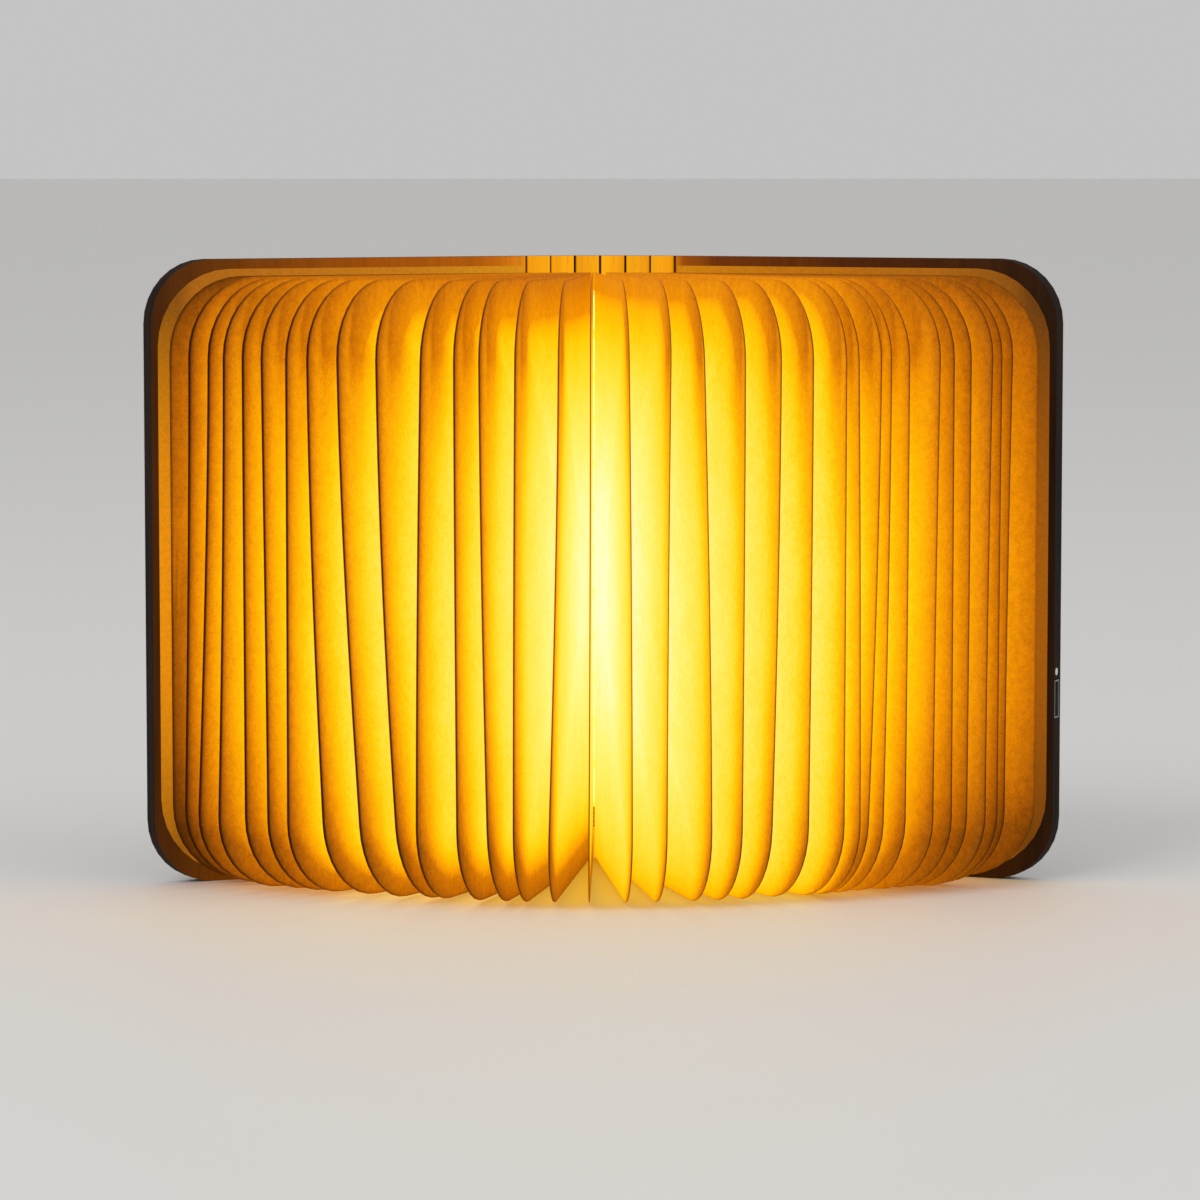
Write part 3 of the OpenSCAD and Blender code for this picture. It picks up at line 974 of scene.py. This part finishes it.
# %% LED bars
LED_COUNT = 12
LENS_EDGE = (0.42, 0.36)
led_low, led_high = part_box("led_bar_1")
led_pitch = (led_high[2] - led_low[2]) / MM / LED_COUNT
led_finish, shader, root, place = start_finish("milky_lens", Emission_Strength=1.0)
step = ((up_from_floor(place) - led_low[2] / MM) / led_pitch).curve("FRACT")
lens = (step - 0.5).curve("ABSOLUTE").between(*LENS_EDGE)
frost = noise(place, scale=1.5)
wire(
    root, shader,
    Base_Color=lens.mix(colour(180, 168, 130), colour(226, 214, 180)),
    Emission_Color=lens.mix(colour(252, 214, 84), colour(255, 234, 140)) * (0.85 + 0.3 * frost),
    Roughness=0.35 + 0.2 * frost,
)
repaint(led_finish, *[name for name in frame["nodes"] if name.startswith("led_bar_")])
print("lens pitch", round(led_pitch, 2), "mm")

# %% [markdown]
# ## Small parts
# The magnets, the socket, the battery, the control board and the charge light sit in pockets. Each
# gets the finish of its own kind, because a cover that is taken apart shows them.

# %% Metal parts
SCRATCH_SHADE = 0.75


def metal_finish(name, tint, roughness, stretch):
    material, shader, root, place = start_finish(name, Metallic=1.0)
    scratches = noise(place, scale=1.8, detail=5.0, roughness=0.7, stretch=stretch)
    wire(
        root, shader,
        Base_Color=scratches.mix(tuple(SCRATCH_SHADE * v for v in tint), tint),
        Roughness=roughness + 0.25 * scratches,
        Normal=bump(scratches, strength=0.15, distance_mm=0.03),
    )
    return material


nickel = metal_finish("nickel_plate", colour(205, 203, 198), 0.16, (1.0, 1.0, 1.0))
stamped_steel = metal_finish("stamped_steel", colour(150, 150, 152), 0.3, (0.2, 0.2, 3.0))
repaint(nickel, *[f"{side}_magnet_{end}" for side in ("left", "right") for end in ("upper", "lower")])
repaint(stamped_steel, "usb_socket")
print("metal finishes", nickel.name, stamped_steel.name)

# %% [markdown]
# The battery is a pouch of crinkled foil, so its bump is coarse. The control board has a green mask
# with copper fields under it, which cell edges suggest. The charge light is frosted and unlit.

# %% Battery, control board and charge light
foil, shader, root, place = start_finish("pouch_foil", Metallic=0.6)
wrinkle = noise(place, scale=0.25, detail=5.0, roughness=0.6)
wire(
    root, shader,
    Base_Color=wrinkle.mix(colour(126, 130, 134), colour(176, 180, 184)),
    Roughness=0.3 + 0.3 * wrinkle,
    Normal=bump(wrinkle, strength=0.5, distance_mm=0.3),
)
repaint(foil, "battery")

mask_green, shader, root, place = start_finish("solder_mask", Roughness=0.3, Coat_Weight=0.4)
cells = place.node("ShaderNodeTexVoronoi", {"feature": "DISTANCE_TO_EDGE"}, Vector=place, Scale=0.9)
copper = cells.between(0.06, 0.1)
wire(
    root, shader,
    Base_Color=copper.mix(colour(48, 96, 62), colour(20, 62, 40)),
    Normal=bump(copper, strength=0.2, distance_mm=0.03),
)
repaint(mask_green, "control_board")

frosted, shader, root, place = start_finish("frosted_light")
haze = noise(place, scale=1.2)
wire(
    root, shader,
    Base_Color=haze.mix(colour(190, 188, 180), colour(228, 226, 218)),
    Roughness=0.4 + 0.25 * haze,
)
repaint(frosted, "charge_light")
print("inner parts finished")

# %% [markdown]
# ## Floor and light
# The floor is plain and pale, and wide enough to reach the horizon. Two large soft lamps and a dim
# grey world keep the studio gentle, so that the paper's own glow still leads.

# %% Floor and studio light
FLOOR_HALF = 30.0
FLOOR_COLOUR = (0.86, 0.85, 0.83, 1.0)
WORLD_GREY = (0.92, 0.92, 0.92, 1.0)
WORLD_STRENGTH = 0.6
AIM = (0, 0, 0.05)
SOFTBOXES = {
    "key_softbox": {"place": (-1.2, -1.4, 1.6), "side": 1.2, "power": 13.0},
    "fill_softbox": {"place": (1.5, -0.9, 1.1), "side": 1.4, "power": 5.0},
}
floor_mesh = bpy.data.meshes.new("studio_floor")
floor_mesh.from_pydata(
    [(-FLOOR_HALF, -FLOOR_HALF, 0), (FLOOR_HALF, -FLOOR_HALF, 0), (FLOOR_HALF, FLOOR_HALF, 0),
     (-FLOOR_HALF, FLOOR_HALF, 0)],
    [], [(0, 1, 2, 3)]
)
floor = bpy.data.objects.new("studio_floor", floor_mesh)
bpy.context.collection.objects.link(floor)
floor_paint, floor_shader, root, place = start_finish("floor_paint", Roughness=0.65)
floor_shader.inputs["Base Color"].default_value = FLOOR_COLOUR
floor_mesh.materials.append(floor_paint)


def soft_lamp(name, place, side, power):
    light = bpy.data.lights.new(name, "AREA")
    light.shape = "SQUARE"
    light.size = side
    light.energy = power
    lamp = bpy.data.objects.new(name, light)
    lamp.location = place
    lamp.rotation_euler = (Vector(AIM) - Vector(place)).to_track_quat("-Z", "Y").to_euler()
    bpy.context.collection.objects.link(lamp)


for name, settings in SOFTBOXES.items():
    soft_lamp(name, **settings)
world = bpy.data.worlds.new("studio_world")
world.use_nodes = True
background = world.node_tree.nodes["Background"]
background.inputs["Color"].default_value = WORLD_GREY
background.inputs["Strength"].default_value = WORLD_STRENGTH
bpy.context.scene.world = world
bpy.context.scene.view_settings.view_transform = "Standard"
print("floor and lamps placed")
